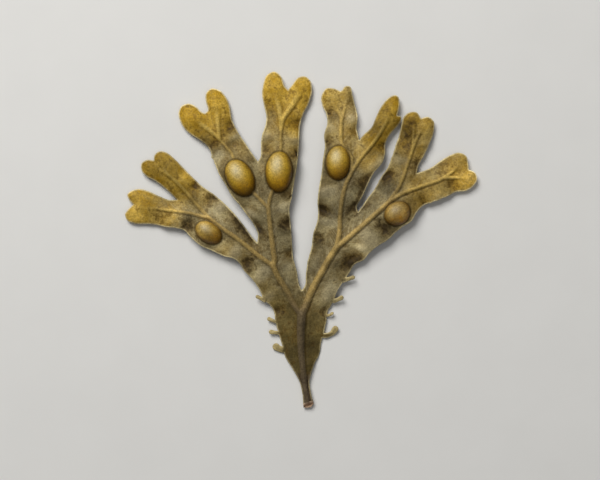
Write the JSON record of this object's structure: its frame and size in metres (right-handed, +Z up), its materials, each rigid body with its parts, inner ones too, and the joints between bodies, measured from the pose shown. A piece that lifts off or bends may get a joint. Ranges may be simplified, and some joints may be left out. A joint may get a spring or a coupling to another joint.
{
  "type": "bladderwrack frond",
  "caption": "Loose bladderwrack frond laid flat: forked olive blades with raised midribs, round golden tips, oval air bladders, small margin leaflets and a cut stipe.",
  "frame": {"origin": "centre of the bounding box in X and Y, on the surface that the frond lies on", "axes": "+X across the frond to the right seen from above with the stipe towards the viewer, +Y from the cut stipe to the tips, +Z up"},
  "size_m": [0.1054, 0.1008, 0.0072],
  "materials": {
    "stipe_tissue": "dark olive-brown seaweed tissue, satin",
    "blade_tissue": "olive-beige seaweed tissue with a fine grain, satin",
    "tip_tissue": "golden seaweed tissue, speckled, satin"
  },
  "bodies": {
    "root": {"stipe": "stipe_tissue", "left_branch": "blade_tissue", "right_branch": "blade_tissue", "left_outer_branch": "blade_tissue", "left_inner_branch": "blade_tissue", "right_inner_branch": "blade_tissue", "right_outer_branch": "blade_tissue", "left_outer_lower_tip": "tip_tissue", "left_outer_upper_tip": "tip_tissue", "left_inner_left_tip": "tip_tissue", "left_inner_right_tip": "tip_tissue", "right_inner_left_tip": "tip_tissue", "right_inner_right_tip": "tip_tissue", "right_outer_upper_tip": "tip_tissue", "right_outer_lower_tip": "tip_tissue"}
  },
  "joints": []
}
